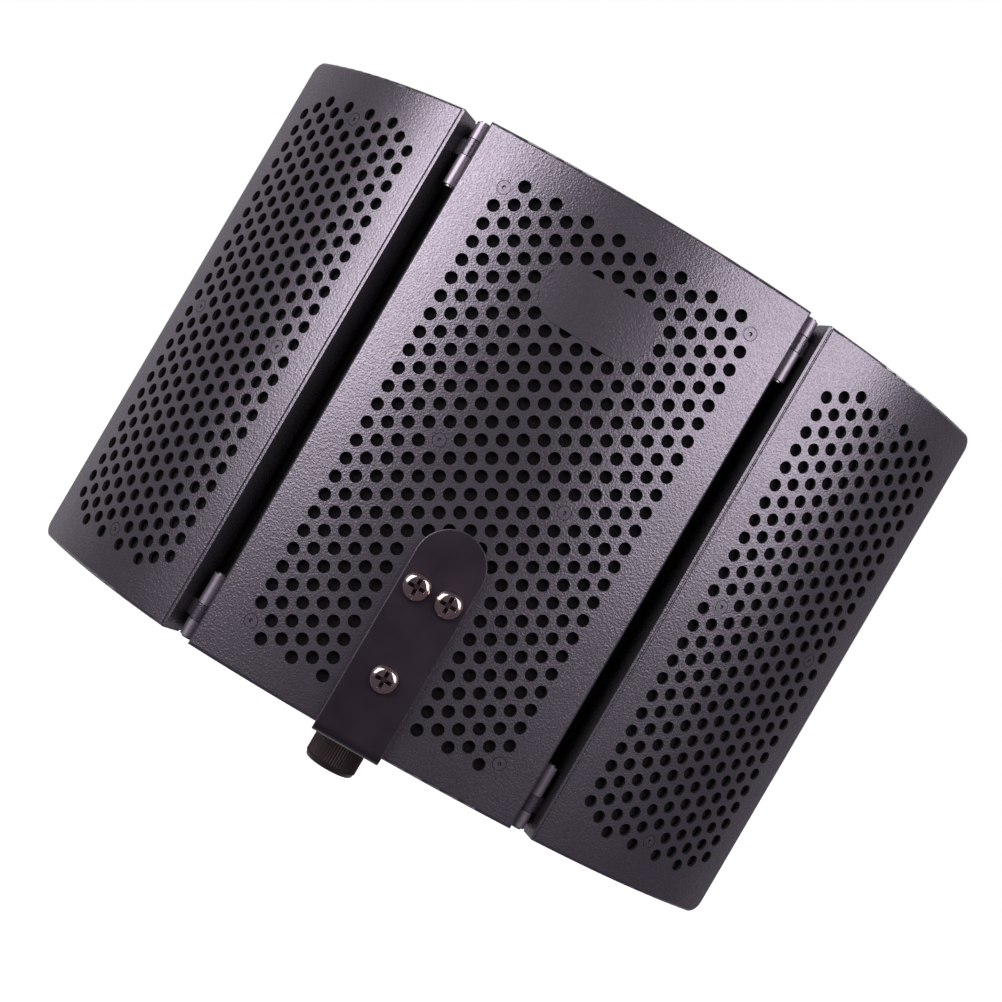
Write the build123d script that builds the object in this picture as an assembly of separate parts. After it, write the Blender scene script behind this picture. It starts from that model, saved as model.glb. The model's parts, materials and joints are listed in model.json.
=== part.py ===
"""Folding isolation shield for a microphone: three perforated steel panels lined with foam,
a hinged wing on each side, and an L-bracket with a threaded socket for a microphone stand.

Millimetres, +Z up.  The origin is the mouth of the stand socket's thread.  The perforated
outer face looks towards -Y and the foam towards +Y, where the microphone stands.
"""
from build123d import *
from math import cos, pi, sin, sqrt
import os

# ---- perforated sheet -------------------------------------------------------------------
SHEET = 1.5              # sheet steel thickness
PAN_DEPTH = 12.0         # depth of the returned edges of each panel
BEND_R = 1.4             # outside radius where the sheet turns into its edges
PANEL_H = 233.0          # height of all three panels
PITCH = 8.0              # hole pitch; the holes lie on a triangular grid
COLUMN = PITCH * sqrt(3) / 2
HOLE_D = 5.2
PLAIN_COLUMNS = 2        # no holes behind the bracket, in this many columns each side of the middle
PLAIN_BELOW = -4.5 * PITCH

# ---- centre panel and wings -------------------------------------------------------------
CENTRE_R = 300.0         # outer radius of the centre panel in plan
CENTRE_W = 146.0         # width of the centre panel along its curve
WING_R = 200.0
WING_W = 98.4            # width of a wing along its curve, hinge rail included
WING_CORNER_R = 6.0
LEFT_FOLD = 14.6         # stored angle of each wing, inwards from the line of the centre panel
RIGHT_FOLD = 1.9

# ---- hinges -----------------------------------------------------------------------------
AXIS_DEPTH = 6.0         # hinge axis below the outer face
AXIS_TO_CENTRE = 3.4     # hinge axis to the centre panel's edge
AXIS_TO_LEFT = 7.5       # hinge axis to the left wing's rail
AXIS_TO_RIGHT = 5.5      # the right wing hangs closer
BARREL_R = 3.2
BARREL_INSET = 1.5       # barrel end below the panel's edge
KNUCKLES = (7.3, 7.0, 13.2)   # outer centre, wing and inner centre knuckle lengths
KNUCKLE_GAP = 0.15
PIN_R = 1.5
PIN_PLAY = 0.05
LEAF = 1.5
RAIL = 1.2

# ---- foam -------------------------------------------------------------------------------
FOAM_BACK = 3.0          # foam starts this far below the outer face
FOAM_FRONT = 38.0        # crests of the foam below the outer face
FOAM_GAP = 0.5           # side clearance in the pan
LOBE_R = 12.0            # round edge of the centre foam about the hinge axis
LOBE_CLEAR = 0.5
LOBE_START = 78.0        # angles about the hinge axis, from the wing's side inwards
CENTRE_BEVEL = 112.0
WING_BEVEL = 85.0

# ---- foam clips -------------------------------------------------------------------------
CLIP_HOLE_D = 5.7        # clip holes are wider than the others
CLIP_NOSE_D = 5.2
CLIP_FLANGE_D = 7.6
CLIP_FLANGE_T = 1.0
CLIP_STEM_D = 3.0
CLIP_BARB_D = 4.4
CLIP_END = 15.0          # tip of the stem below the outer face

# ---- bracket, socket and fasteners ------------------------------------------------------
BRACKET_W = 29.0
BRACKET_T = 2.5
BRACKET_BEND_R = 2.0     # inside radius
BRACKET_RISE = 94.2      # foot's underside to the rounded top
STRAP_CLEAR = 0.05       # strap to the crown of the curved panel
FOOT_CLEAR = 0.6         # foot to the panel's lower edge
SOCKET_REACH = 80.0      # outer face of the panel to the socket's axis
SOCKET_D = 23.8
SOCKET_L = 23.5
BORE_R = 7.45            # 5/8"-27 female thread at its crests
BORE_DEPTH = 15.0
STUD_R = 7.94            # 5/8"-27 male thread
STUD_TOP = 20.0          # top of the stud above the foot
RELIEF_H = 1.2           # groove in the stud above its lock nut
RELIEF_DEPTH = 0.8
NUT_AF = 22.0            # lock nut across flats
NUT_T = 5.0
WASHER_T = 1.2
SCREW_R = 2.5            # M5
SCREW_HEAD_D = 11.4
SCREW_HEAD_H = 3.3
SCREW_LENGTH = 11.5
SCREW_HOLE_D = 5.5       # through the sheet
SCREW_ROW = 52.6         # upper pair below the middle of the grid
SCREW_LOW = 89.2         # single screw below the middle of the grid

# ---- badge ------------------------------------------------------------------------------
BADGE_W = 48.0
BADGE_H = 24.0
BADGE_T = 0.4
BADGE_Z = 9 * PITCH

# ---- levels and places ------------------------------------------------------------------
FOOT_Z = SOCKET_L
PANEL_BOTTOM = FOOT_Z + BRACKET_T + FOOT_CLEAR
MID_Z = PANEL_BOTTOM + PANEL_H / 2
FACE_Y = -SOCKET_REACH   # crown of the centre panel's outer face

parts = {}


def bent(radius, start, end, near, far, low, high):
    """Curved block: arc lengths start..end on the outer radius, depths near..far, heights."""
    a0, a1 = start / radius, end / radius

    def spot(r, a):
        return (r * sin(a), radius - r * cos(a))

    outer, inner = radius - near, radius - far
    mid = (a0 + a1) / 2
    with BuildSketch() as plan:
        with BuildLine():
            ThreePointArc(spot(outer, a0), spot(outer, mid), spot(outer, a1))
            Line(spot(outer, a1), spot(inner, a1))
            ThreePointArc(spot(inner, a1), spot(inner, mid), spot(inner, a0))
            Line(spot(inner, a0), spot(outer, a0))
        make_face()
    return Pos(0, 0, low) * extrude(plan.sketch, high - low)


def on_panel(radius, along, height, depth=0.0):
    """Frame on a curved panel, local Z pointing into the panel."""
    a = along / radius
    r = radius - depth
    centre = (r * sin(a), radius - r * cos(a), height)
    return Plane(origin=centre, x_dir=(cos(a), sin(a), 0), z_dir=(-sin(a), cos(a), 0))


def cylinders(radius, spots, near, far, diameter):
    """Radial cylinders through a curved panel at the given (along, height) spots."""
    rod = Cylinder(diameter / 2, far - near, align=(Align.CENTER, Align.CENTER, Align.MIN))
    return [on_panel(radius, s, z, near).location * rod for s, z in spots]


def column_spots(column, half_steps):
    """Hole heights of one column: half_steps counts half pitches from the middle."""
    return [(column * COLUMN, k * PITCH / 2) for k in range(-half_steps, half_steps + 1, 2)]


# ---- hole grids: columns step by a half pitch in height ----
CENTRE_CLIPS = [(sx * 8 * COLUMN, sz * 12 * PITCH) for sx in (-1, 1) for sz in (-1, 1)]
CENTRE_CLIPS += [(-4 * COLUMN, 0.0), (4 * COLUMN, 0.0)]
WING_CLIPS = [(0.0, -12 * PITCH), (0.0, 12 * PITCH), (-4 * COLUMN, 0.0), (4 * COLUMN, 0.0)]


def centre_grid():
    spots = []
    for column in range(-8, 9):
        spots += column_spots(column, 25 if column % 2 else 24)
    plain = PLAIN_COLUMNS * COLUMN + 1
    return [(s, z) for s, z in spots if abs(s) > plain or z > PLAIN_BELOW]


def wing_grid():
    spots = []
    for column in range(-5, 6):
        reach = 23 if abs(column) == 5 else 25 if column % 2 else 24
        spots += column_spots(column, reach)
    return spots


def on_wing(spots):
    """Grid spots counted from the wing's middle, to arc lengths from its hinge edge."""
    return [(s + WING_GRID_MID, z) for s, z in spots]


def pan(radius, start, end, corner_r=0.0):
    """Sheet pan: curved face with its four edges returned inwards, holes not yet cut."""
    half = PANEL_H / 2
    outer = bent(radius, start, end, 0, PAN_DEPTH, -half, half)
    inner = bent(radius, start + SHEET, end - SHEET, SHEET, PAN_DEPTH + 5,
                 -half + SHEET, half - SHEET)
    if corner_r:
        outer = fillet(far_corners(outer, radius, end), corner_r)
        inner = fillet(far_corners(inner, radius, end - SHEET), corner_r - SHEET)
    face = outer.faces().filter_by(GeomType.CYLINDER)
    face = max(face, key=lambda f: f.area)
    outer = fillet(face.outer_wire().edges(), BEND_R)
    return outer - inner


def far_corners(solid, radius, end):
    """The two straight edges that run inwards at the end of a curved block."""
    a = end / radius
    along = Vector(-sin(a), cos(a), 0)
    return [e for e in solid.edges().filter_by(GeomType.LINE)
            if abs(abs(e.tangent_at(0).dot(along)) - 1) < 1e-6 and e.center().X > 0]


def place(shape):
    """Panel frame, middle of the grid on the outer face, to the part's frame."""
    return Pos(0, FACE_Y, MID_Z) * shape


def flipped(shape):
    return mirror(shape, about=Plane.YZ)


def clip(frame):
    """Push-in foam clip: flush dimpled nose, flange under the sheet, barbed stem."""
    down = (Align.CENTER, Align.CENTER, Align.MIN)
    body = Cylinder(CLIP_NOSE_D / 2, SHEET + 0.1, align=down)
    body += Pos(0, 0, SHEET + 0.05) * Cylinder(CLIP_FLANGE_D / 2, CLIP_FLANGE_T, align=down)
    body += Pos(0, 0, SHEET) * Cylinder(CLIP_STEM_D / 2, CLIP_END - SHEET - 1, align=down)
    for depth in (6.0, 9.5, 13.0):
        body += Pos(0, 0, depth) * Cone(CLIP_BARB_D / 2, 0.5, CLIP_END - 13, align=down)
    body -= Cone(0.85, 0.5, 0.9, align=down)
    return frame.location * body


def clips(radius, spots):
    return [clip(on_panel(radius, s, z)) for s, z in spots]


def centre_cover():
    sheet = pan(CENTRE_R, -CENTRE_W / 2, CENTRE_W / 2)
    sheet -= cylinders(CENTRE_R, centre_grid(), -1, SHEET + 0.5, HOLE_D)
    sheet -= cylinders(CENTRE_R, CENTRE_CLIPS, -1, SHEET + 0.5, CLIP_HOLE_D)
    for x, z in SCREW_SPOTS:
        sheet -= Pos(x, -1, z) * Rot(-90, 0, 0) * rod(SCREW_HOLE_D / 2, 0, SHEET + 2)
    return sheet


def wing_cover():
    sheet = pan(WING_R, 0, WING_W - RAIL, WING_CORNER_R)
    sheet -= cylinders(WING_R, on_wing(wing_grid()), -1, SHEET + 0.5, HOLE_D)
    return sheet - cylinders(WING_R, on_wing(WING_CLIPS), -1, SHEET + 0.5, CLIP_HOLE_D)


def stem_pockets(radius, spots):
    return cylinders(radius, spots, 2.0, CLIP_END + 1.0, CLIP_BARB_D + 1.2)


# ---- hinge frame: origin on the hinge axis, X outwards along the panel, Y inwards ----
def hinge_frame():
    a = CENTRE_W / 2 / CENTRE_R
    out, inward = Vector(cos(a), sin(a)), Vector(-sin(a), cos(a))
    edge = Vector(CENTRE_R * sin(a), CENTRE_R * (1 - cos(a)))
    origin = edge + out * AXIS_TO_CENTRE + inward * AXIS_DEPTH
    return Plane(origin=origin, x_dir=out, z_dir=(0, 0, 1)).location


def block(x0, x1, y0, y1, z0, z1):
    low = (Align.MIN, Align.MIN, Align.MIN)
    return Pos(x0, y0, z0) * Box(x1 - x0, y1 - y0, z1 - z0, align=low)


def rod(radius, z0, z1):
    return Pos(0, 0, z0) * Cylinder(radius, z1 - z0, align=(Align.CENTER, Align.CENTER, Align.MIN))


def beyond(angle):
    """Half space on the inner side of a plane through the hinge axis at a plan angle."""
    half = Box(90, 200, PANEL_H + 40, align=(Align.MAX, Align.CENTER, Align.CENTER))
    return Rot(0, 0, angle - 90) * half


def knuckle_spans():
    """Heights of the upper barrel's outer, wing and inner knuckles."""
    top = PANEL_H / 2 - BARREL_INSET
    spans = []
    for length in KNUCKLES:
        spans.append((top - length + KNUCKLE_GAP, top - KNUCKLE_GAP))
        top -= length
    return spans


def centre_leaf():
    """Upper leaf on the centre panel's edge, in the hinge frame."""
    outer, wing, inner = knuckle_spans()
    leaf = block(-AXIS_TO_CENTRE, LEAF - AXIS_TO_CENTRE, 0, 5, inner[0], outer[1])
    leaf -= rod(BARREL_R + 0.3, wing[0] - KNUCKLE_GAP, wing[1] + KNUCKLE_GAP)
    leaf += rod(BARREL_R, *outer) + rod(BARREL_R, *inner)
    return leaf - rod(PIN_R, inner[0] - 1, outer[1] + 1)


def hinge_pin():
    outer, _, inner = knuckle_spans()
    pin = rod(PIN_R, inner[0] - 0.7, outer[1] + 0.7)
    for z0, z1 in ((inner[0] - 0.7, inner[0]), (outer[1], outer[1] + 0.7)):
        pin += rod(2.2, z0, z1)
    return pin


def wing_rail(offset):
    """Full-height strip on the wing's hinge edge, offset from the axis, with two knuckles."""
    half = PANEL_H / 2 - 1
    rail = block(offset, offset + RAIL, -AXIS_DEPTH, PAN_DEPTH - AXIS_DEPTH, -half, half)
    low, high = knuckle_spans()[1]
    for z0, z1 in ((low, high), (-high, -low)):
        rail += rod(BARREL_R, z0, z1)
        rail += block(0, offset, BARREL_R - LEAF, BARREL_R, z0, z1)
        rail -= rod(PIN_R + PIN_PLAY, z0 - 1, z1 + 1)
    return rail


FOAM_HALF = PANEL_H / 2 - SHEET - FOAM_GAP
WING_GRID_MID = WING_W / 2 - RAIL


def centre_foam(hinge, hinge_spots):
    """Pad in the centre pan, rounded about each hinge axis so no light shows between pads."""
    reach = CENTRE_W / 2 + 20
    pad = bent(CENTRE_R, -reach, reach, FOAM_BACK, FOAM_FRONT, -FOAM_HALF, FOAM_HALF)
    rim = PAN_DEPTH - AXIS_DEPTH + 0.6
    tall = PANEL_H / 2 + 5
    above_rim = block(-90, 90, rim, 90, -tall, tall)
    keep = (rod(LOBE_R, -tall, tall) & beyond(LOBE_START)) + beyond(CENTRE_BEVEL)
    side = block(-AXIS_TO_CENTRE - SHEET - FOAM_GAP, 90, -30, 90, -tall, tall)
    waste = hinge * ((side - above_rim) + (above_rim - keep))
    pad = pad - waste - flipped(waste)
    pad -= stem_pockets(CENTRE_R, CENTRE_CLIPS)
    for x, z in hinge_spots:
        pad -= Pos(x, 0, z) * Rot(-90, 0, 0) * rod(6.5, 0, 11)
    return pad


def wing_foam(wing, offset):
    """Pad in a wing pan, lapping behind the centre pad's rounded edge; hinge frame, unfolded."""
    end = WING_W - RAIL - SHEET - FOAM_GAP
    pad = bent(WING_R, -30, end, FOAM_BACK, FOAM_FRONT, -FOAM_HALF, FOAM_HALF)
    pad = fillet(far_corners(pad, WING_R, end), WING_CORNER_R - SHEET - FOAM_GAP)
    pad -= stem_pockets(WING_R, on_wing(WING_CLIPS))
    pad = wing * pad
    tall = PANEL_H / 2 + 5
    hollow = LOBE_R + LOBE_CLEAR
    side = offset + RAIL + SHEET + FOAM_GAP
    pad -= block(-90, side, -90, sqrt(hollow ** 2 - side ** 2), -tall, tall)
    return pad - rod(hollow, -tall, tall) - beyond(WING_BEVEL)


def badge():
    """Blank stadium plate on the centre panel."""
    skin = bent(CENTRE_R, -BADGE_W / 2, BADGE_W / 2, -BADGE_T, 0, -BADGE_H / 2, BADGE_H / 2)
    outline = SlotOverall(BADGE_W, BADGE_H)
    stamp = Plane.XZ * outline
    return Pos(0, 0, BADGE_Z) * (skin & extrude(stamp, 10, both=True))


# ---- bracket and its fasteners, in the part's frame ----
SCREW_SPOTS = [(-COLUMN, -SCREW_ROW), (COLUMN, -SCREW_ROW), (0.0, -SCREW_LOW)]
STRAP_BACK = FACE_Y - STRAP_CLEAR
STRAP_FRONT = STRAP_BACK - BRACKET_T


def along_y(shape, x, y, z):
    """Turn a shape built up +Z so that it runs towards +Y from (x, y, z)."""
    return Pos(x, y, z) * Rot(-90, 0, 0) * shape


def stand_bracket():
    half = BRACKET_W / 2
    top = FOOT_Z + BRACKET_RISE - half
    strap = block(-half, half, STRAP_FRONT, STRAP_BACK, FOOT_Z, top)
    strap += along_y(rod(half, 0, BRACKET_T), 0, STRAP_FRONT, top)
    foot = block(-half, half, STRAP_FRONT, 0, FOOT_Z, FOOT_Z + BRACKET_T)
    foot += rod(half, FOOT_Z, FOOT_Z + BRACKET_T)
    plate = strap + foot
    across = plate.edges().filter_by(Axis.X)
    outside = across.sort_by_distance((0, STRAP_FRONT, FOOT_Z))[0]
    plate = fillet(outside, BRACKET_BEND_R + BRACKET_T)
    across = plate.edges().filter_by(Axis.X)
    inside = across.sort_by_distance((0, STRAP_BACK, FOOT_Z + BRACKET_T))[0]
    plate = fillet(inside, BRACKET_BEND_R)
    front = plate.faces().sort_by(Axis.Y)[0]
    plate = fillet(front.edges().filter_by(lambda e: e.center().Z > FOOT_Z + 10), 0.4)
    for x, z in SCREW_SPOTS:
        plate -= along_y(rod(SCREW_R + 0.2, -1, BRACKET_T + 1), x, STRAP_FRONT, MID_Z + z)
    return plate - rod(STUD_R + 0.2, FOOT_Z - 1, FOOT_Z + BRACKET_T + 1)


def pan_head_screw():
    """Screw with its head's underside at Z = 0 and its shank up +Z."""
    head = Cylinder(SCREW_HEAD_D / 2, SCREW_HEAD_H, align=(Align.CENTER, Align.CENTER, Align.MAX))
    crown = head.edges().sort_by(Axis.Z)[0]
    head = fillet(crown, SCREW_HEAD_H * 0.72)
    screw = head + rod(SCREW_R, 0, SCREW_LENGTH - 0.5)
    screw += Pos(0, 0, SCREW_LENGTH - 0.5) * Cone(
        SCREW_R, SCREW_R - 0.5, 0.5, align=(Align.CENTER, Align.CENTER, Align.MIN))
    for turn in (0, 90):
        with BuildSketch(Plane.XZ) as blade:
            Polygon((-3.7, 0), (3.7, 0), (1.2, 2.6), (-1.2, 2.6), align=None)
        slot = extrude(blade.sketch, 0.75, both=True)
        screw -= Pos(0, 0, -SCREW_HEAD_H) * Rot(0, 0, turn) * slot
    return screw


def hex_nut(flats, thickness, bore_r):
    body = extrude(RegularPolygon(flats / 2, 6, major_radius=False), thickness)
    cap = Cylinder(flats / 2 * 1.08, thickness, align=(Align.CENTER, Align.CENTER, Align.MIN))
    cap = chamfer(cap.edges(), thickness * 0.14)
    return (body & cap) - rod(bore_r, -1, thickness + 1)


def washer(outer_r, inner_r, thickness):
    return rod(outer_r, 0, thickness) - rod(inner_r, -1, thickness + 1)


def at_screws(shape, y):
    return [along_y(shape, x, y, MID_Z + z) for x, z in SCREW_SPOTS]


# ---- stand socket, built up its own axis ----
def knurled_sleeve(radius, depth, ribs, z0, z1):
    """Straight-ribbed ring: V-shaped ribs around a cylinder."""
    points = []
    for k in range(ribs * 2):
        r = radius if k % 2 else radius - depth
        a = pi * k / ribs
        points.append((r * cos(a), r * sin(a)))
    return Pos(0, 0, z0) * extrude(make_face(Polyline(*points, close=True)), z1 - z0)


def stand_socket():
    """Knurled body with the stand's female thread below and the microphone's stud above."""
    radius = SOCKET_D / 2
    collar = rod(radius - 0.5, 0, SOCKET_L)
    collar = fillet(collar.edges().group_by(Axis.Z)[0], 1.6)
    collar = chamfer(collar.edges().group_by(Axis.Z)[-1], 0.4)
    body = collar + knurled_sleeve(radius, 0.45, 60, 2.2, SOCKET_L - 1.2)
    top = FOOT_Z + BRACKET_T + STUD_TOP
    stud = rod(STUD_R, SOCKET_L - 1, top)
    body += chamfer(stud.edges().group_by(Axis.Z)[-1], 0.9)
    relief = washer(STUD_R + 1, STUD_R - RELIEF_DEPTH, RELIEF_H)
    body -= Pos(0, 0, FOOT_Z + BRACKET_T + WASHER_T + NUT_T) * relief
    body -= rod(BORE_R, -1, BORE_DEPTH)
    mouth = Cone(BORE_R + 0.9, BORE_R, 0.9, align=(Align.CENTER, Align.CENTER, Align.MIN))
    return body - mouth


def wing_parts(side, offset, fold, out):
    """One wing and its hinges, built on the right and mirrored for the left."""
    hinge = hinge_frame()
    turned = hinge * Rot(0, 0, fold)
    wing = Pos(offset + RAIL, -AXIS_DEPTH, 0)
    finish = flipped if side == "left" else (lambda shape: shape)

    def add(name, shapes, frame):
        out[name] = [finish(place(frame * shape)) for shape in shapes]

    add(f"{side}_wing_cover", [wing_cover()], turned * wing)
    add(f"{side}_wing_foam", [wing_foam(wing, offset)], turned)
    add(f"{side}_wing_foam_clips", clips(WING_R, on_wing(WING_CLIPS)), turned * wing)
    add(f"{side}_wing_hinge_rail", [wing_rail(offset)], turned)
    for level, upper in (("upper", True), ("lower", False)):
        for name, shape in (("hinge_leaf", centre_leaf()), ("hinge_pin", hinge_pin())):
            shape = shape if upper else mirror(shape, about=Plane.XY)
            add(f"{side}_{level}_{name}", [shape], hinge)


def build():
    out = {}
    out["centre_cover"] = [place(centre_cover())]
    out["centre_foam"] = [place(centre_foam(hinge_frame(), SCREW_SPOTS))]
    out["centre_foam_clips"] = [place(c) for c in clips(CENTRE_R, CENTRE_CLIPS)]
    out["blank_badge"] = [place(badge())]
    wing_parts("left", AXIS_TO_LEFT, LEFT_FOLD, out)
    wing_parts("right", AXIS_TO_RIGHT, RIGHT_FOLD, out)

    out["stand_bracket"] = [stand_bracket()]
    nut_seat = FACE_Y + 1.8
    out["bracket_screws"] = at_screws(pan_head_screw(), STRAP_FRONT)
    out["bracket_washers"] = at_screws(washer(5.0, 2.65, 1.0), nut_seat)
    out["bracket_nuts"] = at_screws(hex_nut(8.0, 4.0, SCREW_R + 0.02), nut_seat + 1.0)
    out["stand_socket"] = [stand_socket()]
    foot_top = FOOT_Z + BRACKET_T
    out["socket_washer"] = [Pos(0, 0, foot_top) * washer(11.5, STUD_R + 0.2, WASHER_T)]
    nut = hex_nut(NUT_AF, NUT_T, STUD_R + 0.02)
    out["socket_lock_nut"] = [Pos(0, 0, foot_top + WASHER_T) * nut]
    return out


def main():
    os.makedirs("parts", exist_ok=True)
    for name, shapes in build().items():
        solids = [solid for shape in shapes for solid in shape.solids()]
        shape = solids[0] if len(solids) == 1 else Compound(solids)
        export_step(shape, f"parts/{name}.step")
    hinge = hinge_frame().position
    print("hinge axis", round(hinge.X, 4), round(hinge.Y + FACE_Y, 4), "middle height", MID_Z)


if __name__ == "__main__":
    main()
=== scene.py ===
"""Looks of the folding microphone isolation shield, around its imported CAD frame.  Metres, +Z up."""
import json
import math
import bpy
from mathutils import Matrix, Vector


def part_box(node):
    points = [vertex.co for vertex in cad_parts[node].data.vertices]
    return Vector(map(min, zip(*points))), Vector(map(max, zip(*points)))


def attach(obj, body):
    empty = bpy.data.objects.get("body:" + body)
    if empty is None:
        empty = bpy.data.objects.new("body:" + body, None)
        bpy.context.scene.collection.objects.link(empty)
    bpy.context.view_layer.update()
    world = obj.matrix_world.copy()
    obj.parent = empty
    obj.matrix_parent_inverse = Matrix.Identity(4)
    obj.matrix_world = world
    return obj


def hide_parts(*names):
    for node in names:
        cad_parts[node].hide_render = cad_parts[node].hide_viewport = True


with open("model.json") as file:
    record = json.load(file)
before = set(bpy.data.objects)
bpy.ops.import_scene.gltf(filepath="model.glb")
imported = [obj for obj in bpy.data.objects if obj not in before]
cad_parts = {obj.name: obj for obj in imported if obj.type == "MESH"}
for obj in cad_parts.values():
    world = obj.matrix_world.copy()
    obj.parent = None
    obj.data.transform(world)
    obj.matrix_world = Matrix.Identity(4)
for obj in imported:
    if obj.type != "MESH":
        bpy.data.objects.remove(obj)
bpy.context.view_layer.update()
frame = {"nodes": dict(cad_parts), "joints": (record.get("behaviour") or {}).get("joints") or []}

MM = 0.001

# ---- shapes repeated from the CAD model ---------------------------------------------------
CENTRE_R = 300 * MM          # outer radius of the centre panel in plan
CENTRE_W = 146 * MM
WING_R = 200 * MM
WING_START = {"left": 8.7 * MM, "right": 6.7 * MM}   # hinge axis to a wing's sheet
AXIS_DEPTH = 6 * MM          # hinge axis below the outer face
FOLD_LIMIT = 25              # degrees inwards from the line of the centre panel
SOCKET_R = 11.9 * MM
SOCKET_L = 23.5 * MM
BORE_R = 7.45 * MM
BORE_DEPTH = 15 * MM
STUD_R = 7.94 * MM
THREAD_PITCH = 25.4 / 27 * MM
BORE_THREAD = 0.5 * MM       # depth of the thread in the bore
STUD_THREAD = 0.55 * MM      # depth of the thread on the stud
GROOVE_H = 1.2 * MM          # groove in the stud above its lock nut
GROOVE_DEPTH = 0.8 * MM
RIBS = 60                    # round the socket's body
RIB_DEPTH = 0.5 * MM
EDGE_R = 1.6 * MM            # round lower edge of the socket

# ---- foam relief --------------------------------------------------------------------------
VOXEL = 1.6 * MM
FOAM_BASE = 19 * MM          # solid part of the pad, below the panel's outer face
PYRAMID = 19.5 * MM          # pitch of the pyramids
VALLEY = 0.88                # how much of the relief's depth the valleys lose


# ---- the colour sockets of a mix node, which share their names with its other sockets -------
FACTOR, COLOUR_A, COLOUR_B, RESULT = 0, 6, 7, 2


# ---- small node-tree helpers --------------------------------------------------------------
def new_material(name):
    """Material with a Principled shader; returns it with its nodes, links and shader."""
    material = bpy.data.materials.new(name)
    material.use_nodes = True
    tree = material.node_tree
    return material, tree, tree.nodes["Principled BSDF"]


def add(tree, kind, **inputs):
    """Node with its inputs set; names use _ for a space."""
    node = tree.nodes.new(kind)
    for key, value in inputs.items():
        node.inputs[key.replace("_", " ")].default_value = value
    return node


def link(tree, source, output, target, socket):
    tree.links.new(source.outputs[output], target.inputs[socket])


def place(tree, stretch=(1, 1, 1)):
    """Coordinates in the object's own space, in millimetres."""
    coordinates = tree.nodes.new("ShaderNodeTexCoord")
    mapping = tree.nodes.new("ShaderNodeMapping")
    mapping.inputs["Scale"].default_value = [s / MM for s in stretch]
    link(tree, coordinates, "Object", mapping, "Vector")
    return mapping


def noise(tree, where, scale, detail=2.0, roughness=0.5):
    node = add(tree, "ShaderNodeTexNoise", Scale=scale, Detail=detail, Roughness=roughness)
    link(tree, where, "Vector", node, "Vector")
    return node


def ramp(tree, source, output, stops):
    """Colour ramp; stops are (position, colour)."""
    node = tree.nodes.new("ShaderNodeValToRGB")
    elements = node.color_ramp.elements
    while len(elements) < len(stops):
        elements.new(0.5)
    for element, (position, colour) in zip(elements, stops):
        element.position = position
        element.color = (*colour, 1) if len(colour) == 3 else colour
    link(tree, source, output, node, "Fac")
    return node


def grey(value):
    return (value, value, value)


def bump(tree, shader, source, output, strength, distance, below=None):
    node = add(tree, "ShaderNodeBump", Strength=strength, Distance=distance)
    link(tree, source, output, node, "Height")
    if below:
        link(tree, below, "Normal", node, "Normal")
    link(tree, node, "Normal", shader, "Normal")
    return node


def multiply(tree, first, second, shader):
    """The product of two ramps' colours as the shader's base colour."""
    mix = tree.nodes.new("ShaderNodeMix")
    mix.data_type = "RGBA"
    mix.blend_type = "MULTIPLY"
    mix.inputs[FACTOR].default_value = 1.0
    link(tree, first, "Color", mix, COLOUR_A)
    link(tree, second, "Color", mix, COLOUR_B)
    link(tree, mix, RESULT, shader, "Base Color")


def tinted(colour, factor):
    return tuple(c * factor for c in colour)


# ---- materials ----------------------------------------------------------------------------
COAT = (0.188, 0.168, 0.199)     # purplish grey, as a metal's colour
METAL_GREY = (0.30, 0.265, 0.31)


def coat_material(name, colour, rough, grain, metallic=0.85):
    """Satin metallic powder coat with a fine leathery grain."""
    material, tree, shader = new_material(name)
    where = place(tree)
    fine = noise(tree, where, 1.5, 3.0, 0.6)
    broad = noise(tree, where, 0.035, 3.0, 0.55)
    mottle = ramp(tree, fine, "Fac", [(0.3, tinted(colour, 0.80)), (0.7, tinted(colour, 1.2))])
    cloud = ramp(tree, broad, "Fac", [(0.3, grey(0.88)), (0.72, grey(1.0))])
    multiply(tree, mottle, cloud, shader)
    gloss = ramp(tree, fine, "Fac", [(0.2, grey(rough + 0.06)), (0.8, grey(rough - 0.05))])
    link(tree, gloss, "Color", shader, "Roughness")
    shader.inputs["Metallic"].default_value = metallic
    cells = add(tree, "ShaderNodeTexVoronoi", Scale=1.3)
    cells.feature = "SMOOTH_F1"
    link(tree, where, "Vector", cells, "Vector")
    coarse = bump(tree, shader, cells, "Distance", grain, 0.30 * MM)
    bump(tree, shader, fine, "Fac", grain * 0.8, 0.25 * MM, coarse)
    return material


def smooth_paint(name, colour, rough, metallic=0.5):
    """Smooth satin paint with faint clouding and a little orange peel."""
    material, tree, shader = new_material(name)
    where = place(tree)
    cloud = noise(tree, where, 0.06, 4.0)
    tone = ramp(tree, cloud, "Fac", [(0.3, tinted(colour, 0.85)), (0.7, tinted(colour, 1.12))])
    link(tree, tone, "Color", shader, "Base Color")
    gloss = ramp(tree, cloud, "Fac", [(0.3, grey(rough - 0.04)), (0.7, grey(rough + 0.06))])
    link(tree, gloss, "Color", shader, "Roughness")
    shader.inputs["Metallic"].default_value = metallic
    peel = noise(tree, where, 0.7, 2.0)
    bump(tree, shader, peel, "Fac", 0.12, 0.1 * MM)
    return material


def metal(name, colour, rough, streak=(1, 1, 1), strength=0.12):
    """Plated or turned metal with fine streaks and slight tarnish."""
    material, tree, shader = new_material(name)
    where = place(tree, streak)
    lines = noise(tree, where, 2.2, 3.0)
    stain = noise(tree, where, 0.25, 4.0)
    tone = ramp(tree, stain, "Fac", [(0.3, tinted(colour, 0.82)), (0.65, colour)])
    link(tree, tone, "Color", shader, "Base Color")
    gloss = ramp(tree, lines, "Fac", [(0.25, grey(rough)), (0.8, grey(rough + 0.12))])
    link(tree, gloss, "Color", shader, "Roughness")
    shader.inputs["Metallic"].default_value = 1.0
    bump(tree, shader, lines, "Fac", strength, 0.04 * MM)
    return material


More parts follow.
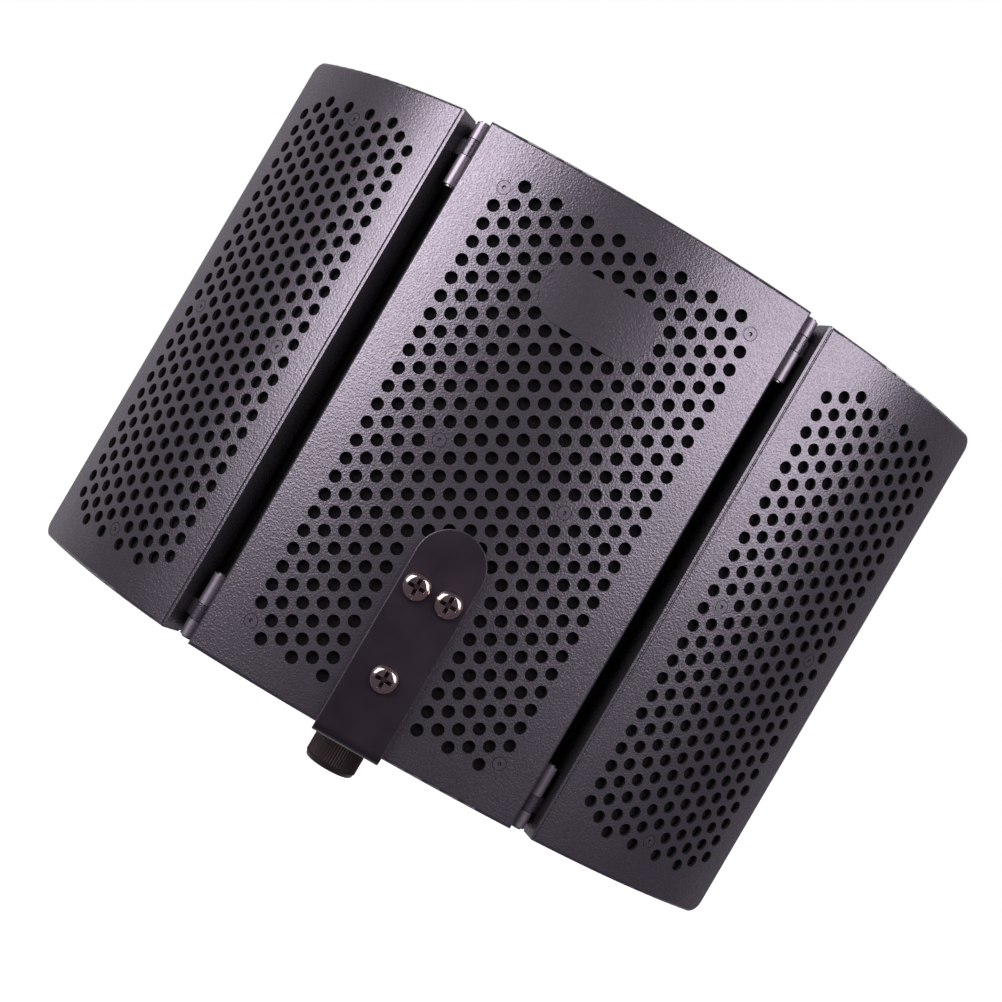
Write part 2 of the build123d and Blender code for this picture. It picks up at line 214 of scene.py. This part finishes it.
def paint_edge_highlight(material, colour):
    """Painted highlight: lighter colour along the outer edges, standing in for the bright line where
    they catch the light.
    """
    tree = material.node_tree
    shader = tree.nodes["Principled BSDF"]
    plain = shader.inputs["Base Color"].links[0].from_node
    rounded = add(tree, "ShaderNodeBevel", Radius=0.6 * MM)
    flat = tree.nodes.new("ShaderNodeNewGeometry")
    agree = tree.nodes.new("ShaderNodeVectorMath")
    agree.operation = "DOT_PRODUCT"
    link(tree, rounded, "Normal", agree, 0)
    link(tree, flat, "True Normal", agree, 1)
    # painted highlight mask: 1 on the rounded edges, 0 on the flat faces
    edge = ramp(tree, agree, "Value", [(0.90, grey(1.0)), (0.985, grey(0.0))])
    mix = tree.nodes.new("ShaderNodeMix")
    mix.data_type = "RGBA"
    link(tree, edge, "Color", mix, FACTOR)
    link(tree, plain, "Color", mix, COLOUR_A)
    mix.inputs[COLOUR_B].default_value = (*colour, 1)
    link(tree, mix, RESULT, shader, "Base Color")


def plated_screw_with_recess_shade():
    """Warm nickel with softened edges; the driver recess and other close hollows are darkened with
    painted shade.
    """
    material = metal("warm_nickel", (0.74, 0.60, 0.55), 0.10)
    tree = material.node_tree
    shader = tree.nodes["Principled BSDF"]
    plain = shader.inputs["Base Color"].links[0].from_node
    # painted shade: ambient occlusion darkens the base colour in the driver recess
    hollow = add(tree, "ShaderNodeAmbientOcclusion", Distance=2.5 * MM)
    shade = ramp(tree, hollow, "AO", [(0.35, (0.05, 0.035, 0.03)), (0.85, grey(1.0))])
    multiply(tree, plain, shade, shader)
    edge = add(tree, "ShaderNodeBevel", Radius=0.35 * MM)
    grain = shader.inputs["Normal"].links[0].from_node
    link(tree, edge, "Normal", grain, "Normal")
    return material


def foam_material():
    """Charcoal open-cell foam: matte, with small dark pores."""
    material, tree, shader = new_material("open_cell_foam")
    where = place(tree)
    cells = add(tree, "ShaderNodeTexVoronoi", Scale=1.25)
    link(tree, where, "Vector", cells, "Vector")
    patch = noise(tree, where, 0.12, 4.0)
    pores = ramp(tree, cells, "Distance",
                 [(0.10, (0.004, 0.003, 0.005)), (0.62, (0.015, 0.012, 0.016))])
    worn = ramp(tree, patch, "Fac", [(0.3, grey(0.72)), (0.7, grey(1.0))])
    multiply(tree, pores, worn, shader)
    shader.inputs["Roughness"].default_value = 0.95
    shader.inputs["Specular IOR Level"].default_value = 0.15
    shader.inputs["Sheen Weight"].default_value = 0.15
    shader.inputs["Sheen Roughness"].default_value = 0.5
    bump(tree, shader, cells, "Distance", 0.7, 0.5 * MM)
    return material


def dress(material, *nodes):
    """Give a material to CAD nodes through their material slots."""
    for name in nodes:
        for entry in frame["nodes"][name].material_slots:
            entry.material = material


SIDES = ("left", "right")
powder = coat_material("powder_coat", COAT, 0.28, 0.22)
badge_paint = coat_material("badge_paint", tinted(COAT, 0.88), 0.30, 0.2)
clip_paint = coat_material("clip_paint", COAT, 0.31, 0.08)
hinge_metal = smooth_paint("hinge_satin", METAL_GREY, 0.38, 0.9)
bracket_paint = smooth_paint("bracket_paint", (0.039, 0.027, 0.040), 0.36)
# painted highlight: the bracket's edges get a lighter purplish grey
paint_edge_highlight(bracket_paint, (0.30, 0.25, 0.30))
nickel = plated_screw_with_recess_shade()
zinc = metal("zinc_plate", (0.60, 0.60, 0.58), 0.28)
black_zinc = metal("black_zinc", (0.10, 0.095, 0.09), 0.30)
pin_steel = metal("pin_steel", (0.30, 0.28, 0.30), 0.25)
socket_black = metal("socket_black", (0.150, 0.118, 0.112), 0.42, (1, 1, 0.2), 0.1)
foam = foam_material()

dress(powder, "centre_cover", *[f"{side}_wing_cover" for side in SIDES])
dress(powder, *[f"{side}_wing_hinge_rail" for side in SIDES])
dress(badge_paint, "blank_badge")
dress(clip_paint, "centre_foam_clips", *[f"{side}_wing_foam_clips" for side in SIDES])
dress(hinge_metal, *[f"{side}_{level}_hinge_leaf" for side in SIDES for level in ("upper", "lower")])
dress(pin_steel, *[f"{side}_{level}_hinge_pin" for side in SIDES for level in ("upper", "lower")])
dress(bracket_paint, "stand_bracket")
dress(nickel, "bracket_screws")
dress(zinc, "bracket_washers", "bracket_nuts")
dress(black_zinc, "socket_washer", "socket_lock_nut")


# ---- foam pads ----------------------------------------------------------------------------
def plan(direction):
    return Vector((math.cos(direction), math.sin(direction), 0))


def pad_curve(side):
    """Centre of curvature, radius and outward-facing middle direction of a panel in plan."""
    face_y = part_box("centre_cover")[0].y
    if side == "centre":
        return Vector((0, face_y + CENTRE_R, 0)), CENTRE_R
    joint = next(j for j in frame["joints"] if j["child"] == f"{side}_wing")
    fold = FOLD_LIMIT - joint["range_deg"][1]
    turn = CENTRE_W / 2 / CENTRE_R + math.radians(fold)
    out, inward = plan(turn), plan(turn + math.pi / 2)
    middle = out * WING_START[side] + inward * (WING_R - AXIS_DEPTH)
    sign = -1 if side == "left" else 1
    hinge = joint["pos_m"]
    return Vector((hinge[0] + sign * middle.x, hinge[1] + middle.y, 0)), WING_R


def relief(along, height):
    """0 on a pyramid's tip, 1 in the valleys around it."""
    u = abs((along / PYRAMID) % 1 - 0.5) * 2
    v = abs((height / PYRAMID) % 1 - 0.5) * 2
    return max(u, v)


def foam_pad(node, side, body):
    """Pad cut into pyramids on the microphone's side, inside its plain CAD solid."""
    mesh = frame["nodes"][node].data.copy()
    mesh.name = f"{node}_pyramids"
    pad = bpy.data.objects.new(mesh.name, mesh)
    bpy.context.scene.collection.objects.link(pad)
    remesh = pad.modifiers.new("remesh", "REMESH")
    remesh.mode = "VOXEL"
    remesh.voxel_size = VOXEL
    remesh.use_smooth_shade = True
    evaluated = pad.evaluated_get(bpy.context.evaluated_depsgraph_get())
    pad.data = bpy.data.meshes.new_from_object(evaluated)
    pad.modifiers.clear()

    centre, radius = pad_curve(side)
    low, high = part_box(node)
    middle = (low.z + high.z) / 2
    for vertex in pad.data.vertices:
        offset = Vector((vertex.co.x - centre.x, vertex.co.y - centre.y, 0))
        depth = radius - offset.length
        if depth <= FOAM_BASE:
            continue
        along = radius * math.atan2(offset.x, -offset.y)
        lost = (depth - FOAM_BASE) * VALLEY * relief(along, vertex.co.z - middle)
        vertex.co += offset.normalized() * lost
    pad.data.materials.clear()
    pad.data.materials.append(foam)
    pad.data.polygons.foreach_set("use_smooth", [True] * len(pad.data.polygons))
    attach(pad, body)
    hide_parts(node)


foam_pad("centre_foam", "centre", "centre")
for side in SIDES:
    foam_pad(f"{side}_wing_foam", side, f"{side}_wing")


# ---- stand socket -------------------------------------------------------------------------
def thread(angle, height):
    """0 at a thread's crest, 1 at its root."""
    turn = (height / THREAD_PITCH - angle / (2 * math.pi)) % 1
    return abs(turn - 0.5) * 2


def lathe(name, rows, steps):
    """Solid of revolution; each row is (radius, height, relief(angle, height) or None)."""
    vertices = []
    for radius, height, cut in rows:
        for k in range(steps):
            angle = 2 * math.pi * k / steps
            r = radius + (cut(angle, height) if cut else 0)
            vertices.append((r * math.cos(angle), r * math.sin(angle), height))
    faces = []
    for row in range(len(rows) - 1):
        for k in range(steps):
            a, b = row * steps + k, row * steps + (k + 1) % steps
            faces.append((a, b, b + steps, a + steps))
    faces.append(tuple(range(steps - 1, -1, -1)))
    last = (len(rows) - 1) * steps
    faces.append(tuple(range(last, last + steps)))
    mesh = bpy.data.meshes.new(name)
    mesh.from_pydata(vertices, [], faces)
    mesh.validate()
    piece = bpy.data.objects.new(name, mesh)
    bpy.context.scene.collection.objects.link(piece)
    return piece


def even(start, end, step):
    count = max(1, round(abs(end - start) / step))
    return [start + (end - start) * k / count for k in range(count + 1)]


def socket_rows():
    """Profile from the bore's blind end, out round the ribbed body and up the stud."""
    core = SOCKET_R - RIB_DEPTH
    stud_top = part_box("stand_socket")[1].z
    nut_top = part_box("socket_lock_nut")[1].z
    groove_top = nut_top + GROOVE_H
    rise = THREAD_PITCH / 7

    def bore_cut(angle, height):
        return BORE_THREAD * thread(angle, height)

    def stud_cut(angle, height):
        return -STUD_THREAD * thread(angle, height)

    def rib_cut(angle, height):
        return RIB_DEPTH * (1 - abs(math.sin(angle * RIBS / 2)) ** 1.5)

    rows = [(BORE_R * 0.2, BORE_DEPTH, None), (BORE_R, BORE_DEPTH, None)]
    rows += [(BORE_R, z, bore_cut) for z in even(BORE_DEPTH - 1 * MM, 1.2 * MM, rise)]
    rows += [(BORE_R + 0.3 * MM, 0.6 * MM, None), (BORE_R + 0.9 * MM, 0, None)]
    for step in range(7):
        turn = math.pi / 2 * step / 6
        rows.append((core - EDGE_R * (1 - math.sin(turn)), EDGE_R * (1 - math.cos(turn)), None))
    rows += [(core, 2.1 * MM, None), (core, 2.3 * MM, rib_cut)]
    rows += [(core, z, rib_cut) for z in even(3 * MM, SOCKET_L - 2 * MM, 3 * MM)]
    rows += [(core, SOCKET_L - 1.3 * MM, rib_cut), (core, SOCKET_L - 1.1 * MM, None)]
    rows += [(core, SOCKET_L - 0.4 * MM, None), (core - 0.4 * MM, SOCKET_L, None)]
    rows += [(STUD_R, z, None) for z in (SOCKET_L, nut_top - 0.4 * MM)]
    rows += [(STUD_R - GROOVE_DEPTH, z, None) for z in (nut_top, groove_top)]
    rows += [(STUD_R, z, stud_cut) for z in even(groove_top + 0.2 * MM, stud_top - 1 * MM, rise)]
    rows += [(STUD_R - 0.9 * MM, stud_top, None), (STUD_R * 0.2, stud_top, None)]
    return rows


STEPS_PER_RIB = 5
socket = lathe("threaded_stand_socket", socket_rows(), RIBS * STEPS_PER_RIB)
for polygon in socket.data.polygons:
    polygon.use_smooth = len(polygon.vertices) == 4 and abs(polygon.normal.z) < 0.9
socket.data.materials.append(socket_black)
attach(socket, "centre")
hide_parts("stand_socket")


# ---- floor, light and camera --------------------------------------------------------------
FLOOR_Z = -0.30
FLOOR_R = 9.0
FLOOR_STEPS = 96
AIM = Vector((0, -0.08, 0.14))   # the middle of the perforated face, where the lights point
EYE = Vector((-0.0146, -0.6692, 0.1210))
HEADING, ROLL = math.radians(2.41), math.radians(30.29)   # to the right of +Y, and leaning


def pale_floor():
    """Large pale disc below the shield."""
    rim = []
    for k in range(FLOOR_STEPS):
        spot = plan(2 * math.pi * k / FLOOR_STEPS) * FLOOR_R
        rim.append((spot.x, spot.y, FLOOR_Z))
    mesh = bpy.data.meshes.new("floor")
    mesh.from_pydata(rim, [], [tuple(range(FLOOR_STEPS))])
    floor = bpy.data.objects.new("floor", mesh)
    bpy.context.scene.collection.objects.link(floor)
    material, tree, shader = new_material("pale_paper")
    shader.inputs["Base Color"].default_value = (0.80, 0.80, 0.80, 1)
    shader.inputs["Roughness"].default_value = 0.9
    shader.inputs["Specular IOR Level"].default_value = 0.1
    shader.inputs["Emission Color"].default_value = (1, 1, 1, 1)
    shader.inputs["Emission Strength"].default_value = 1.0
    mesh.materials.append(material)
    floor.visible_diffuse = False
    floor.visible_glossy = False


def sky():
    """White for the eye; for the light it gives, bright behind the shield and dim in front."""
    world = bpy.data.worlds.new("studio")
    bpy.context.scene.world = world
    world.use_nodes = True
    tree = world.node_tree
    output = tree.nodes["World Output"]
    light = tree.nodes["Background"]
    direction = tree.nodes.new("ShaderNodeTexCoord")
    split = tree.nodes.new("ShaderNodeSeparateXYZ")
    link(tree, direction, "Generated", split, "Vector")
    sweep = ramp(tree, split, "Y", [(0.0, (0.090, 0.076, 0.101)), (0.5, (0.60, 0.58, 0.60))])
    link(tree, sweep, "Color", light, "Color")
    white = tree.nodes.new("ShaderNodeBackground")
    white.inputs["Color"].default_value = (1, 1, 1, 1)
    path = tree.nodes.new("ShaderNodeLightPath")
    mix = tree.nodes.new("ShaderNodeMixShader")
    link(tree, path, "Is Camera Ray", mix, 0)
    link(tree, light, "Background", mix, 1)
    link(tree, white, "Background", mix, 2)
    link(tree, mix, "Shader", output, "Surface")


def softbox(name, azimuth, elevation, distance, width, height, power, tint=(1.0, 0.97, 1.0)):
    """Rectangular light facing the shield; azimuth 0 is in front of the perforated face."""
    a, e = math.radians(azimuth), math.radians(elevation)
    away = Vector((math.sin(a) * math.cos(e), -math.cos(a) * math.cos(e), math.sin(e)))
    data = bpy.data.lights.new(name, "AREA")
    data.shape = "RECTANGLE"
    data.size, data.size_y = width, height
    data.energy = power
    data.color = tint
    light = bpy.data.objects.new(name, data)
    light.location = AIM + away * distance
    light.rotation_mode = "QUATERNION"
    light.rotation_quaternion = away.to_track_quat("Z", "Y")
    bpy.context.scene.collection.objects.link(light)


def camera():
    """View of the perforated back, rolled so that the shield leans to the right."""
    data = bpy.data.cameras.new("camera")
    data.sensor_width = 36
    data.lens = 55.58
    data.shift_x, data.shift_y = 0.005, 0.039
    eye = bpy.data.objects.new("camera", data)
    ahead = Vector((math.sin(HEADING), math.cos(HEADING), 0))
    level = ahead.to_track_quat("-Z", "Y").to_matrix().to_4x4()
    eye.matrix_world = Matrix.Translation(EYE) @ level @ Matrix.Rotation(ROLL, 4, "Z")
    bpy.context.scene.collection.objects.link(eye)
    bpy.context.scene.camera = eye


pale_floor()
sky()
softbox("left_softbox", -50, 17, 1.15, 1.00, 0.74, 11.5)
softbox("right_softbox", 43, 22, 1.15, 0.94, 0.66, 7.2)
softbox("rear_fill", 170, 40, 1.6, 1.2, 0.9, 7.0)
camera()
bpy.context.scene.view_settings.view_transform = "Standard"
